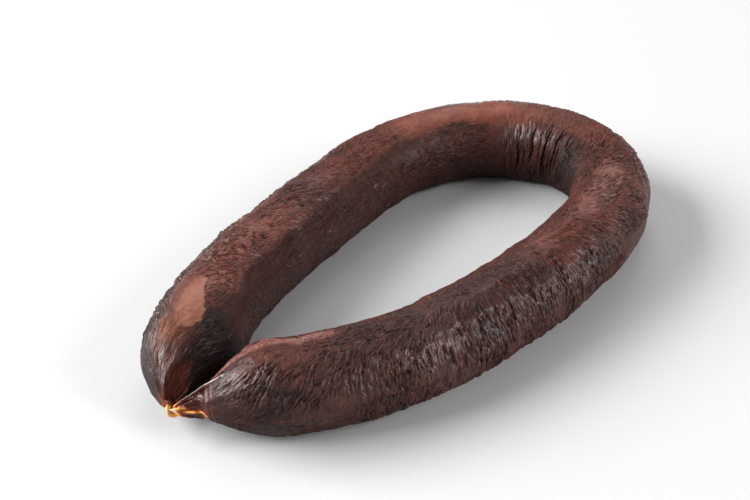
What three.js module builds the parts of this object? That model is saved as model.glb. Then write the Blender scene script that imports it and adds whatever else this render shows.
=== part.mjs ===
// A blood sausage bent into a ring, in millimetres, with +Z up.
// It lies on the plane z = 0 with its long side along X, and the origin is on
// that plane under the middle of its box. The skin runs in one piece from the
// dry tail at one end, round the ring, to the dry cone at the other.

import * as THREE from 'three';

// The middle line: a chain of arcs, each with its length and its turn in
// degrees, and the sausage's thickness where the arc begins.
const arcs = [
  { length: 100, turn: -29.5, thickness: 41.0 },
  { length: 80, turn: -3.5, thickness: 40.0 },
  { length: 50, turn: -25.5, thickness: 39.8 },
  { length: 65, turn: -57.5, thickness: 39.0 },
  { length: 55, turn: -69.5, thickness: 40.2 },
  { length: 40, turn: -26, thickness: 38.6 },
  { length: 110, turn: -18.5, thickness: 39.0 },
  { length: 102, turn: -40, thickness: 39.4 },
];
const lastThickness = 39.8;
const firstHeading = 36.5; // degrees from X, at the end with the tail
const sag = 1.2; // how far the sausage's weight flattens its underside

// The end with the tail: a dome whose tip lies low and off to the outer side.
const tailEnd = {
  dome: 34, // length of the dome
  fill: 0.87, // below 1 it widens sooner behind the tip
  tipRadius: 2.0,
  tipHeight: 12.2,
  drop: 26, // length over which the middle line comes down to the tip
  tipShift: 3.5,
  shiftLength: 36,
};
const tail = { length: 4, radius: 0.9, fall: 1.8, swing: 3.1 };

// The end with the cone: a dome that stops at a collar, which leans so that its
// underside lies further back, and behind it the cone, flatter from side to side.
const coneEnd = { dome: 31, fill: 0.92, tipRadius: 6.6, tipHeight: 15, drop: 22, tipShift: 3.7 };
const collarLean = { size: 3.2, length: 16 };
const cone = {
  length: 12.5,
  tipRadius: 1.7,
  flatness: 0.6,
  fall: 1.4,
  shift: 2.9,
  neck: 0.8,
  taper: 1.3,
  rings: 6,
};
const dropPower = 0.9; // below 1 the middle line comes down later towards a tip

// The flat spot that the cone end has pressed into the tail end's dome. Its
// place and its normal are given along, outward from and above the ring there.
const flatSpot = { along: 8.3, outward: -2.0, up: 23.7, normal: [-0.83, -0.32, 0.46] };

// Folds across the inner side of the tight bend, by their place on the middle
// line. They are deepest at side, and full up to a share of their reach from it.
const folds = { places: [281, 290.3, 300.3, 309], depth: 1.3, width: 1.8, side: 178, reach: 62, full: 0.35 };

// Slow swelling and shrinking of the skin, by wave length along and waves round.
// Swells and folds fade out over bodyFade at both ends.
const bodyFade = 40;
const swells = [
  { size: 0.2, along: 47, round: 2, phase: 0.4 },
  { size: 0.14, along: 29, round: -3, phase: 2.1 },
  { size: 0.1, along: 19, round: 4, phase: 4.0 },
];

const sides = 30; // points round the skin
const tailRingGap = 1; // between rings on the tail
const ringGap = 4.6; // between rings on the plain part of the ring
const foldRingGap = 2.2; // between rings where the folds are
const endRingGap = 1.1; // between rings at the tips
const endGapGrowth = 0.12; // how fast that gap widens away from a tip
const lineStep = 0.5; // step of the sum that gives the middle line

const rad = THREE.MathUtils.degToRad;
const smooth = THREE.MathUtils.smoothstep;
const mix = THREE.MathUtils.lerp;
const clamp = THREE.MathUtils.clamp;
const ringLength = arcs.reduce((sum, arc) => sum + arc.length, 0);

// Rises from 0 to 1 as a quarter of a sine wave over x from 0 to 1.
function swell(x, power) {
  return Math.sin((Math.PI / 2) * clamp(x, 0, 1) ** power);
}

// Heading of the middle line at length s from its start, in degrees.
function heading(s) {
  let begin = 0;
  let angle = firstHeading;
  for (const arc of arcs) {
    angle += arc.turn * clamp((s - begin) / arc.length, 0, 1);
    begin += arc.length;
  }
  return angle;
}

// Radius of the plain ring at s, without the shape of its ends.
function plainRadius(s) {
  const sizes = [...arcs.map((arc) => arc.thickness), lastThickness];
  let begin = 0;
  for (let i = 0; i < arcs.length; i += 1) {
    const part = (s - begin) / arcs[i].length;
    if (part <= 1) {
      return mix(sizes[i], sizes[i + 1], Math.max(part, 0)) / 2;
    }
    begin += arcs[i].length;
  }
  return lastThickness / 2;
}

// Points of the middle line on the floor, from the tail's tip to the cone's
// tip: steps of lineStep, each along the heading halfway through the step.
function middleLine() {
  const count = Math.round((tail.length + ringLength + cone.length) / lineStep);
  const points = [new THREE.Vector2(0, 0)];
  for (let i = 0; i < count; i += 1) {
    const angle = rad(heading(-tail.length + (i + 0.5) * lineStep));
    const step = new THREE.Vector2(Math.cos(angle), Math.sin(angle)).multiplyScalar(lineStep);
    points.push(points[i].clone().add(step));
  }
  return points;
}

// The point of that line at length s, between its two nearest points.
function linePoint(points, s) {
  const place = clamp((s + tail.length) / lineStep, 0, points.length - 1);
  const low = Math.min(Math.floor(place), points.length - 2);
  return points[low].clone().lerp(points[low + 1], place - low);
}

// Half width, half height, height and outward shift of the section at s.
function section(s) {
  const full = plainRadius(clamp(s, 0, ringLength));
  const rest = full - sag;
  if (s < 0) {
    const out = -s / tail.length;
    const radius = mix(tailEnd.tipRadius, tail.radius, Math.sqrt(out));
    const height = tailEnd.tipHeight - tail.fall * out;
    return { wide: radius, tall: radius, height, shift: tailEnd.tipShift - tail.swing * out };
  }
  if (s > ringLength) {
    const out = (s - ringLength) / cone.length;
    const tall = mix(coneEnd.tipRadius, cone.tipRadius, out ** cone.taper);
    const height = coneEnd.tipHeight - cone.fall * out;
    const wide = tall * mix(1, cone.flatness, clamp((s - ringLength) / cone.neck, 0, 1));
    return { wide, tall, height, shift: coneEnd.tipShift + cone.shift * out };
  }
  const toCollar = ringLength - s;
  if (s < ringLength / 2) {
    const radius = mix(tailEnd.tipRadius, full, swell(s / tailEnd.dome, tailEnd.fill));
    const height = mix(tailEnd.tipHeight, rest, swell(s / tailEnd.drop, dropPower));
    const shift = tailEnd.tipShift * (1 - smooth(s, 0, tailEnd.shiftLength));
    return { wide: radius, tall: radius, height, shift };
  }
  const radius = mix(coneEnd.tipRadius, full, swell(toCollar / coneEnd.dome, coneEnd.fill));
  const lift = swell(toCollar / coneEnd.drop, dropPower);
  const height = mix(coneEnd.tipHeight, rest, lift);
  return { wide: radius, tall: radius, height, shift: coneEnd.tipShift * (1 - lift) };
}

// How far the point at s and at the angle round the section lies back from its
// section: none at the top and most at the underside of the collar.
function leanBack(s, angle) {
  const before = smooth(s, ringLength - collarLean.length, ringLength);
  const behind = 1 - smooth(s, ringLength, ringLength + cone.length);
  return (collarLean.size * before * behind * (1 - Math.sin(angle))) / 2;
}

// How far the skin stands out at s and at the angle round the section, which
// runs from the outer side over the top: slow swells, less the inner folds.
function relief(s, angle) {
  const body = smooth(s, 0, bodyFade) * smooth(ringLength - s, 0, bodyFade);
  let out = 0;
  for (const wave of swells) {
    out += wave.size * Math.sin((2 * Math.PI * s) / wave.along + wave.round * angle + wave.phase);
  }
  const off = Math.abs(THREE.MathUtils.radToDeg(angle) - folds.side);
  const inner = 1 - smooth(off, folds.reach * folds.full, folds.reach);
  for (const place of folds.places) {
    out -= folds.depth * inner * Math.exp(-(((s - place) / folds.width) ** 2));
  }
  return out * body;
}

// Lengths at which the rings lie: close at the tips and on the folds.
function ringPlaces() {
  const places = [];
  for (let s = -tail.length; s < 0; s += tailRingGap) {
    places.push(s);
  }
  const firstFold = folds.places[0] - 2 * foldRingGap;
  const lastFold = folds.places.at(-1) + 2 * foldRingGap;
  let s = 0;
  while (s < ringLength - endRingGap) {
    places.push(s);
    const fromEnd = endRingGap + endGapGrowth * Math.min(s, ringLength - s);
    const gap = s > firstFold && s < lastFold ? foldRingGap : ringGap;
    s += Math.min(gap, fromEnd);
  }
  places.push(ringLength, ringLength + cone.neck);
  for (let i = 1; i <= cone.rings; i += 1) {
    places.push(ringLength + cone.neck + ((cone.length - cone.neck) * i) / cone.rings);
  }
  return places;
}

// Pushes a point of the tail end's dome back onto the plane of the flat spot.
function pressFlat(point, along, outward, tip) {
  const [a, o, u] = flatSpot.normal;
  const normal = along.clone().multiplyScalar(a).addScaledVector(outward, o);
  normal.z += u;
  normal.normalize();
  const middle = tip.clone().addScaledVector(along, flatSpot.along);
  middle.addScaledVector(outward, flatSpot.outward);
  middle.z = flatSpot.up;
  const over = point.clone().sub(middle).dot(normal);
  if (over > 0) {
    point.addScaledVector(normal, -over);
  }
}

// The closed skin: one ring of points for each place, joined to the next, with
// a point in the middle of each tip. Points below the floor are laid on it.
function skinGeometry() {
  const line = middleLine();
  const places = ringPlaces();
  const positions = [];
  const faces = [];
  const startAngle = rad(firstHeading);
  const startAlong = new THREE.Vector3(Math.cos(startAngle), Math.sin(startAngle), 0);
  const startOutward = new THREE.Vector3(-Math.sin(startAngle), Math.cos(startAngle), 0);
  const startPoint = linePoint(line, 0);
  const tip = new THREE.Vector3(startPoint.x, startPoint.y, 0);
  const add = (point) => positions.push(point.x, point.y, point.z) / 3 - 1;

  const centre = (s) => {
    const angle = rad(heading(s));
    const along = new THREE.Vector3(Math.cos(angle), Math.sin(angle), 0);
    const outward = new THREE.Vector3(-Math.sin(angle), Math.cos(angle), 0);
    const at = section(s);
    const flat = linePoint(line, s);
    const middle = new THREE.Vector3(flat.x, flat.y, at.height).addScaledVector(outward, at.shift);
    return { at, along, outward, middle };
  };

  for (const s of places) {
    const { at, along, outward, middle } = centre(s);
    for (let j = 0; j < sides; j += 1) {
      const angle = (2 * Math.PI * j) / sides;
      const grow = relief(s, angle);
      const point = middle.clone().addScaledVector(outward, (at.wide + grow) * Math.cos(angle));
      point.z += (at.tall + grow) * Math.sin(angle);
      point.addScaledVector(along, -leanBack(s, angle));
      if (s > 0 && s < tailEnd.dome) {
        pressFlat(point, startAlong, startOutward, tip);
      }
      point.z = Math.max(point.z, 0);
      add(point);
    }
  }
  for (let i = 0; i < places.length - 1; i += 1) {
    for (let j = 0; j < sides; j += 1) {
      const a = i * sides + j;
      const b = i * sides + ((j + 1) % sides);
      faces.push(a, b, a + sides, b, b + sides, a + sides);
    }
  }
  const first = add(centre(places[0]).middle);
  const last = add(centre(places.at(-1)).middle);
  const lastRing = (places.length - 1) * sides;
  for (let j = 0; j < sides; j += 1) {
    const next = (j + 1) % sides;
    faces.push(first, next, j, last, lastRing + j, lastRing + next);
  }

  const geometry = new THREE.BufferGeometry();
  geometry.setAttribute('position', new THREE.Float32BufferAttribute(positions, 3));
  geometry.setIndex(faces);
  geometry.computeBoundingBox();
  const box = geometry.boundingBox;
  geometry.translate(-(box.min.x + box.max.x) / 2, -(box.min.y + box.max.y) / 2, -box.min.z);
  geometry.computeVertexNormals();
  return geometry;
}

// Smoked skin: nearly black brown with a satin gloss.
function skinMaterial() {
  return new THREE.MeshStandardMaterial({ color: '#3a1f1a', roughness: 0.42, metalness: 0 });
}

const group = new THREE.Group();
const sausage = new THREE.Mesh(skinGeometry(), skinMaterial());
sausage.name = 'sausage';
group.add(sausage);

export default group;
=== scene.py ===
import math

import bpy
import numpy as np
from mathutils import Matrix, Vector


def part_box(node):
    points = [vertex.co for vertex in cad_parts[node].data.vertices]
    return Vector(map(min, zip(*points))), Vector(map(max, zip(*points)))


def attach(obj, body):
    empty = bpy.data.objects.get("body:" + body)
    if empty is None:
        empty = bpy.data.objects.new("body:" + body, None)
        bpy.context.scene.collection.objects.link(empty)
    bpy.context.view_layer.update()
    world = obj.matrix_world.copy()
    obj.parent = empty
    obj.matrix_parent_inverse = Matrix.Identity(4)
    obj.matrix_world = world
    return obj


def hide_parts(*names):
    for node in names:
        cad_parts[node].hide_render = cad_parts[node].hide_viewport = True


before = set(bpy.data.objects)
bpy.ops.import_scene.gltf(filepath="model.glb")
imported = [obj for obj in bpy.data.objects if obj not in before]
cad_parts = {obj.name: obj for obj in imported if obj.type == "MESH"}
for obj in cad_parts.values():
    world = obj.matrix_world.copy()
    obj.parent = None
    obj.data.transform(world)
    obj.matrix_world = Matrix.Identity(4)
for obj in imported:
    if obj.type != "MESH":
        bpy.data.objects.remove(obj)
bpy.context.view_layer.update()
mm = 0.001  # the scene is in metres, and the sizes below are in millimetres
print("frame loaded")

# The ring as it was modelled: arcs of the middle line, each with its length, its
# turn in degrees and the thickness where it begins, from the tail's end on.
ring = {
    "arcs": [
        (100, -29.5, 41.0), (80, -3.5, 40.0), (50, -25.5, 39.8), (65, -57.5, 39.0),
        (55, -69.5, 40.2), (40, -26.0, 38.6), (110, -18.5, 39.0), (102, -40.0, 39.4),
    ],
    "lastThickness": 39.8,
    "firstHeading": 36.5,  # degrees from X
    "sag": 1.2,  # how far the weight flattens the underside
    # slow swells of the thickness: height, length, turns round and phase
    "swells": [(0.2, 47, 2, 0.4), (0.14, 29, -3, 2.1), (0.1, 19, 4, 4.0)],
    "bodyFade": 40,  # they fade out over this length at both ends
    "tailDome": 34, "tailFill": 0.87, "tailRadius": 2.0, "tailHeight": 12.2,
    "tailDrop": 26, "tailShift": 3.5, "tailShiftLength": 36,
    "coneDome": 31, "coneFill": 0.92, "coneRadius": 6.6, "coneHeight": 15,
    "coneDrop": 22, "coneShift": 3.7,
    "dropPower": 0.9,
    "collarLean": 3.2, "leanBefore": 16, "leanBehind": 21.5,
    "wrapRadius": 20.0,  # turns degrees round the section into millimetres
    "lineRange": (-4.0, 620.0), "lineStep": 0.5,  # the middle line is summed in steps
}
arcLengths, arcTurns, arcThickness = (np.array(column) for column in zip(*ring["arcs"]))
arcEnds = np.concatenate([[0], np.cumsum(arcLengths)])
ringLength = float(arcEnds[-1])


def smooth(x, low, high):
    # 0 at low and 1 at high, with 3t^2 - 2t^3 between them
    t = np.clip((x - low) / (high - low), 0, 1)
    return t * t * (3 - 2 * t)


def blend(a, b, t):
    # a at t = 0 and b at t = 1
    return a + (b - a) * t


def swell(x, power):
    # a quarter of a sine wave over x^power, from 0 to 1
    return np.sin(np.pi / 2 * np.clip(x, 0, 1) ** power)


def roundedEnd(t):
    # a quarter of an ellipse that all but closes an end: 1 at t = 0, 0.2 at t = 1
    return np.sqrt(np.clip(1 - np.clip(t, 0, 0.98) ** 2, 0, 1))


def bell(x, width):
    # exp(-(x / width)^2)
    return np.exp(-((x / width) ** 2))


def noise(x, y, seed):
    # a random slope at each whole point of x and y, and the slopes of the four
    # nearest points blended with 6t^5 - 15t^4 + 10t^3, brought to about -1 to 1
    size, gain = 128, 1.4  # it repeats after size whole points
    angle = np.random.default_rng(seed).random((size, size)) * 2 * np.pi
    xi, yi = np.floor(x).astype(int), np.floor(y).astype(int)
    fx, fy = x - xi, y - yi

    def corner(i, j):
        a = angle[(xi + i) % size, (yi + j) % size]
        return np.cos(a) * (fx - i) + np.sin(a) * (fy - j)

    u = fx**3 * (fx * (6 * fx - 15) + 10)
    v = fy**3 * (fy * (6 * fy - 15) + 10)
    near, far = blend(corner(0, 0), corner(1, 0), u), blend(corner(0, 1), corner(1, 1), u)
    return gain * blend(near, far, v)


def lumps(s, y, layers):
    # a sum of noises, each given as height, length along, length round and seed
    return sum(
        height * noise(s / along, y / across, seed) for height, along, across, seed in layers
    )


def streaks(s, y, along, across, slant, seed):
    # noise stretched to length along and width across, slant degrees off the
    # middle line: u runs with the streaks and v across them
    c, d = math.cos(math.radians(slant)), math.sin(math.radians(slant))
    return noise((s * c + y * d) / along, (y * c - s * d) / across, seed)


def between(x, span, soft):
    # 1 inside the span and 0 outside, with edges 2 soft wide
    low, high = span
    return smooth(x, low - soft, low + soft) * smooth(x, high + soft, high - soft)


def zone(s, a, sRange, aRange, sSoft, aSoft):
    # 1 inside a stretch of the middle line and a sector of the section, 0 outside,
    # with soft edges of sSoft millimetres and aSoft degrees
    return between(s, sRange, sSoft) * between(a, aRange, aSoft)


def strongest(s, a, table):
    # the largest value of a table's zones at each point, faded by their soft edges
    return np.maximum.reduce([
        value * zone(s, a, sRange, aRange, sSoft, aSoft)
        for sRange, aRange, value, sSoft, aSoft in table
    ])


def roundLength(a):
    # degrees round the section as millimetres along its circle
    return np.radians(a) * ring["wrapRadius"]


def heading(s):
    # the first heading plus the share of each arc's turn that lies before s, in radians
    turned = np.interp(s, arcEnds, np.concatenate([[0], np.cumsum(arcTurns)]))
    return np.radians(ring["firstHeading"] + turned)


lineS = np.arange(*ring["lineRange"], ring["lineStep"])
lineHeading = heading(lineS + ring["lineStep"] / 2)
lineX = np.concatenate([[0], np.cumsum(np.cos(lineHeading) * ring["lineStep"])])[:-1]
lineY = np.concatenate([[0], np.cumsum(np.sin(lineHeading) * ring["lineStep"])])[:-1]


def plainRadius(s):
    # half the thickness, straight between the arcs' ends
    return np.interp(s, arcEnds, np.append(arcThickness, ring["lastThickness"])) / 2


def section(s):
    # radius, height and outward shift of the round section at s: the plain ring
    # drawn in by a dome at each end, whose tips lie lower and to the outer side
    full = plainRadius(s)
    rest = full - ring["sag"]
    toCollar = ringLength - s
    tailDrop = swell(s / ring["tailDrop"], ring["dropPower"])
    coneDrop = swell(toCollar / ring["coneDrop"], ring["dropPower"])
    tailDome = swell(s / ring["tailDome"], ring["tailFill"])
    coneDome = swell(toCollar / ring["coneDome"], ring["coneFill"])
    tailShift = ring["tailShift"] * (1 - smooth(s, 0, ring["tailShiftLength"]))
    coneShift = ring["coneShift"] * (1 - coneDrop)
    byTail = s < ringLength / 2
    radius = np.where(
        byTail,
        blend(ring["tailRadius"], full, tailDome),
        blend(ring["coneRadius"], full, coneDome),
    )
    height = np.where(
        byTail,
        blend(ring["tailHeight"], rest, tailDrop),
        blend(ring["coneHeight"], rest, coneDrop),
    )
    return radius, height, np.where(byTail, tailShift, coneShift)


def axes(s):
    # the middle line's floor point, its direction and the outward side at s
    h = heading(s)
    place = np.stack([np.interp(s, lineS, lineX), np.interp(s, lineS, lineY), 0 * s], -1)
    along = np.stack([np.cos(h), np.sin(h), 0 * s], -1)
    outward = np.stack([-np.sin(h), np.cos(h), 0 * s], -1)
    return place, along, outward


def tailAxes():
    # the same three at the tail's tip
    return (array[0] for array in axes(np.array([0.0])))


up = np.array([0.0, 0.0, 1.0])


def collarLean(s, a, along):
    # backward shift of the points round the collar: most at the underside, none at
    # the top, fading out over leanBefore on the dome and over leanBehind on the cone
    before = smooth(s, ringLength - ring["leanBefore"], ringLength)
    behind = smooth(s, ringLength + ring["leanBehind"], ringLength)
    share = (before * behind)[:, None] * (1 - np.sin(np.radians(a)))[None, :] / 2
    return -ring["collarLean"] * share[..., None] * along[:, None]


def gridMesh(name, points, u, v):
    # rows of points joined to the next and closed round, with a fan to the middle
    # of the first and of the last row; u and v are the map's values by row and column
    rows, columns = points.shape[:2]
    vertices = points.reshape(-1, 3)
    i, j = np.meshgrid(np.arange(rows - 1), np.arange(columns), indexing="ij")
    i, j = i.ravel(), j.ravel()
    here, above, after = i * columns, (i + 1) * columns, (j + 1) % columns
    faces = np.stack([here + j, here + after, above + after, above + j], 1).tolist()
    mapU = np.stack([u[i], u[i], u[i + 1], u[i + 1]], 1)
    mapV = np.stack([v[j], v[j + 1], v[j + 1], v[j]], 1)
    corners = [np.stack([mapU, mapV], -1).reshape(-1, 2)]
    k, middleV = np.arange(columns), (v[:-1] + v[1:]) / 2
    for row in (0, rows - 1):
        middle = np.full(columns, len(vertices))
        vertices = np.vstack([vertices, points[row].mean(0)])
        edge, edgeV = [row * columns + k, row * columns + (k + 1) % columns], [v[:-1], v[1:]]
        if row == 0:  # the first fan faces backwards
            edge, edgeV = edge[::-1], edgeV[::-1]
        faces += np.stack([middle, *edge], 1).tolist()
        mapU, mapV = np.full((columns, 3), u[row]), np.stack([middleV, *edgeV], 1)
        corners.append(np.stack([mapU, mapV], -1).reshape(-1, 2))
    mesh = bpy.data.meshes.new(name)
    mesh.from_pydata((vertices * mm).tolist(), [], faces)
    mesh.polygons.foreach_set("use_smooth", np.ones(len(faces), bool))
    layer = mesh.uv_layers.new(name="casing")
    layer.data.foreach_set("uv", np.concatenate(corners).astype(np.float32).ravel())
    mesh.update()
    piece = bpy.data.objects.new(name, mesh)
    bpy.context.scene.collection.objects.link(piece)
    return piece


def paint(piece, name, *channels):
    # three values for each point, kept as one colour attribute; the fans' middles
    # get the means of their rows
    rgba = np.ones((len(piece.data.vertices), 4), np.float32)
    shape = np.broadcast(*channels).shape
    for k, values in enumerate(channels):
        flat = np.broadcast_to(values, shape)
        rgba[: flat.size, k] = flat.ravel()
        rgba[flat.size :, k] = flat[0].mean(), flat[-1].mean()
    layer = piece.data.color_attributes.new(name, "FLOAT_COLOR", "POINT")
    layer.data.foreach_set("color", rgba.ravel())


def finish(piece, material):
    # material and body of a finished piece
    piece.data.materials.append(material)
    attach(piece, "root")
    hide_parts("sausage")


class Value:
    # a shader socket that takes part in sums and products; each one adds a Math node
    def __init__(self, shader, socket):
        self.shader = shader
        self.socket = socket

    def maths(self, operation, *terms):
        return self.shader.node("ShaderNodeMath", {"operation": operation}, dict(enumerate(terms)))

    def __add__(self, other):
        return self.maths("ADD", self, other)

    def __sub__(self, other):
        return self.maths("SUBTRACT", self, other)

    def __rsub__(self, other):
        return self.maths("SUBTRACT", other, self)

    def __mul__(self, other):
        return self.maths("MULTIPLY", self, other)

    def __abs__(self):
        return self.maths("ABSOLUTE", self)

    __radd__ = __add__
    __rmul__ = __mul__


class Shader:
    # a material and the nodes that make it
    def __init__(self, name):
        self.material = bpy.data.materials.new(name)
        self.material.use_nodes = True
        self.tree = self.material.node_tree
        self.tree.nodes.clear()

    def node(self, kind, settings, sockets, output=0):
        # one node: its settings first, then its sockets' values or links
        made = self.tree.nodes.new(kind)
        for name, value in settings.items():
            setattr(made, name, value)
        for name, value in sockets.items():
            if isinstance(value, Value):
                self.tree.links.new(value.socket, made.inputs[name])
            else:
                made.inputs[name].default_value = value
        return Value(self, made.outputs[output])

    def attribute(self, name):
        # the three values of a colour attribute
        colour = self.node("ShaderNodeAttribute", {"attribute_name": name}, {})
        return [self.node("ShaderNodeSeparateColor", {}, {0: colour}, k) for k in range(3)]

    def ramp(self, value, low, high):
        # smooth step from 0 at low to 1 at high
        sockets = {"Value": value, "From Min": low, "From Max": high}
        return self.node("ShaderNodeMapRange", {"interpolation_type": "SMOOTHSTEP"}, sockets)

    def mix(self, factor, a, b):
        # colour a at factor 0 and b at factor 1
        sockets = {0: factor}
        for k, colour in ((6, a), (7, b)):
            sockets[k] = colour if isinstance(colour, Value) else (*colour, 1)
        return self.node("ShaderNodeMix", {"data_type": "RGBA"}, sockets, 2)

    def cloud(self, place, size, detail=2.0, roughness=0.55):
        # plain noise, 0 to 1, with lumps of about the given size
        sockets = {"Vector": place, "Scale": 1 / size, "Detail": detail, "Roughness": roughness}
        return self.node("ShaderNodeTexNoise", {"noise_dimensions": "2D"}, sockets)

    def grain(self, place, along, across, slant, shift, detail=1.5):
        # noise stretched to streaks of length along and width across, slant degrees
        # off the middle line, 0 to 1; shift moves it to another part of the noise
        sockets = {
            "Vector": place,
            "Location": (shift, shift * 0.37, 0),
            "Rotation": (0, 0, math.radians(slant)),
            "Scale": (along, across, 1),
        }
        turned = self.node("ShaderNodeMapping", {"vector_type": "TEXTURE"}, sockets)
        return self.cloud(turned, 1.0, detail)

    def bump(self, strength, distance, height):
        # the normal tilted by a height, distance being the height of 1 in millimetres
        sockets = {"Strength": strength, "Distance": distance * mm, "Height": height}
        return self.node("ShaderNodeBump", {}, sockets)

    def surface(self, sockets):
        # the finished surface and the material's output
        coat = self.node("ShaderNodeBsdfPrincipled", {}, sockets)
        out = self.tree.nodes.new("ShaderNodeOutputMaterial")
        self.tree.links.new(coat.socket, out.inputs["Surface"])
        return self.material


skin = {
    # one skin, cut across to keep each mesh light
    "pieces": ("tailEndSkin", "backSkin", "bendSkin", "frontSkin"),
    "rows": 1700, "columns": 228,
    "tuck": 0.01,  # each piece runs one row on under the next, this much lower
    "tipRows": 25, "rowSpacing": (0.55, 0.45),  # rows lie closer over this length at both ends
    "crowding": (22, 5),  # degrees by which columns crowd on the sides that show
    "tailCap": 0.7, "coneCap": 1.2,  # rounded ends, hidden in the tail and in the cone
    "endFade": (12, 7),  # the relief fades out over these lengths before the two tips
    "underside": (178, 150),  # and over these degrees from the top
    "calmSide": (-40, 20), "calmFrom": (560, 590), "calmLeft": 0.4,  # lower side of the cone end
    "floorSoftness": 0.4,
    "tone": 0.44,  # where no zone says otherwise
    "patchCalm": 0.85, "calming": 0.85,  # how calm the patch of painted reflection is, and what calm takes
    "amberReach": 3.2,  # the tail's tip is amber over this length
}

# Wrinkles: stretch along the ring, sector round it, slant in degrees off the middle
# line, depth from 0 to 1.3, and the softness of the zone's edges along and round.
wrinkles = [
    ((-5, 28), (-88, 50), 22, 0.45, 8, 8),
    ((-5, 28), (50, 102), 30, 0.55, 6, 10),
    ((-5, 34), (102, 265), 30, 0.75, 6, 10),
    ((20, 262), (-88, 57), -33, 1.1, 10, 6),
    ((36, 58), (104, 132), 38, 0.9, 8, 8),
    ((52, 96), (62, 120), 52, 1.3, 8, 8),
    ((96, 140), (66, 120), 36, 1.25, 10, 8),
    ((140, 215), (57, 120), 18, 1.0, 14, 8),
    ((60, 150), (120, 142), 12, 0.8, 10, 8),
    ((215, 262), (112, 142), 168, 0.8, 10, 8),
    ((24, 262), (140, 268), -3, 0.6, 8, 10),
    ((268, 318), (104, 250), 94, 0.62, 9, 8),
    ((255, 322), (45, 104), 78, 0.60, 8, 10),
    ((255, 365), (-88, 45), 70, 0.90, 8, 10),
    ((318, 348), (120, 232), 74, 0.9, 7, 8),
    ((320, 360), (25, 122), 58, 1.15, 8, 10),
    ((350, 376), (116, 152), 42, 1.0, 8, 8),
    ((360, 400), (62, 120), 36, 1.15, 10, 10),
    ((362, 398), (10, 62), 56, 1.1, 10, 10),
    ((400, 432), (48, 98), 62, 1.15, 8, 8),
    ((392, 436), (-30, 48), 80, 1.1, 10, 8),
    ((388, 440), (98, 128), 2, 0.9, 10, 8),
    ((362, 430), (-88, -30), 74, 0.7, 12, 10),
    ((430, 508), (-88, 50), 87, 1.2, 12, 8),
    ((432, 480), (50, 82), 90, 1.1, 10, 7),
    ((432, 512), (84, 128), 18, 1.0, 12, 8),
    ((482, 508), (52, 84), 120, 0.9, 9, 8),
    ((508, 550), (-88, 42), 94, 1.2, 12, 8),
    ((508, 590), (42, 72), 134, 1.3, 10, 7),
    ((510, 600), (72, 128), 169, 1.15, 10, 8),
    ((550, 592), (0, 42), 112, 1.0, 10, 8),
    ((550, 604), (-88, -4), 168, 0.9, 10, 8),
    ((346, 604), (128, 268), 0, 0.45, 8, 8),
    ((588, 604), (20, 100), 152, 0.8, 5, 8),
]

# The patch of painted reflection by the tail, where the skin is also smooth: its two edges in
# degrees round, at places along.
reflectionPatchShape = {
    "along": (20, 22, 25, 29, 33, 37, 42, 48, 52, 54),
    "left": (90, 85, 79, 74, 72, 70, 71, 77, 83, 89),
    "right": (99, 108, 113, 111, 108, 104, 100, 96, 93, 90),
    "rightSoft": 1.1, "leftSoft": (-9, 10),  # degrees over which its edges fade
    "begin": 0.8, "end": (1, -4),  # millimetres over which it begins and ends
    "frays": [(1.6, 1.6, 1.4, 35), (2.2, 4, 3, 36)], "leftFray": 2.5, "beginFray": 0.25,
}

# Lightness of the skin: stretch, sector, value from 0 (darkest) to 1, soft edges. Most zones are
# the skin's own tone; the darkest ones inside the bend and on the tail's dome where it faces the
# cone end are painted shade.
tones = [
    ((-5, 262), (125, 268), 0.30, 8, 14),
    ((165, 262), (128, 168), 0.42, 14, 12),
    # painted shade: darker on the inner side round the bend
    ((205, 335), (160, 268), 0.20, 20, 20),
    ((36, 118), (60, 116), 0.66, 10, 10),
    ((46, 126), (84, 124), 0.82, 10, 10),
    ((150, 214), (78, 122), 0.60, 12, 12),
    ((204, 286), (72, 118), 0.82, 14, 14),
    ((274, 318), (66, 124), 0.60, 10, 12),
    ((318, 436), (34, 114), 0.66, 14, 14),
    ((376, 430), (-10, 54), 0.44, 10, 10),
    ((452, 548), (54, 106), 0.28, 14, 12),
    ((550, 604), (62, 124), 0.46, 8, 14),
    ((588, 604), (70, 106), 0.14, 4, 8),
    # painted sheen: light streak on the cone end's top where the back lamp reflects
    ((546, 600), (94, 118), 0.84, 8, 8),
    ((440, 530), (-90, 36), 0.50, 14, 10),
    ((530, 560), (-90, 40), 0.38, 12, 10),
    ((560, 604), (-90, 42), 0.18, 12, 12),
    # painted shade: near black where the cone end shades the tail's dome
    ((-5, 34), (110, 268), 0.04, 5, 12),
    ((-5, 44), (-88, 48), 0.16, 8, 10),
    ((12, 32), (56, 92), 0.34, 4, 8),
    ((10, 22), (86, 112), 0.30, 3, 6),
    # painted shade: darker inside the tight bend
    ((312, 352), (118, 232), 0.26, 8, 10),
    ((316, 352), (146, 232), 0.04, 8, 10),
]

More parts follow.
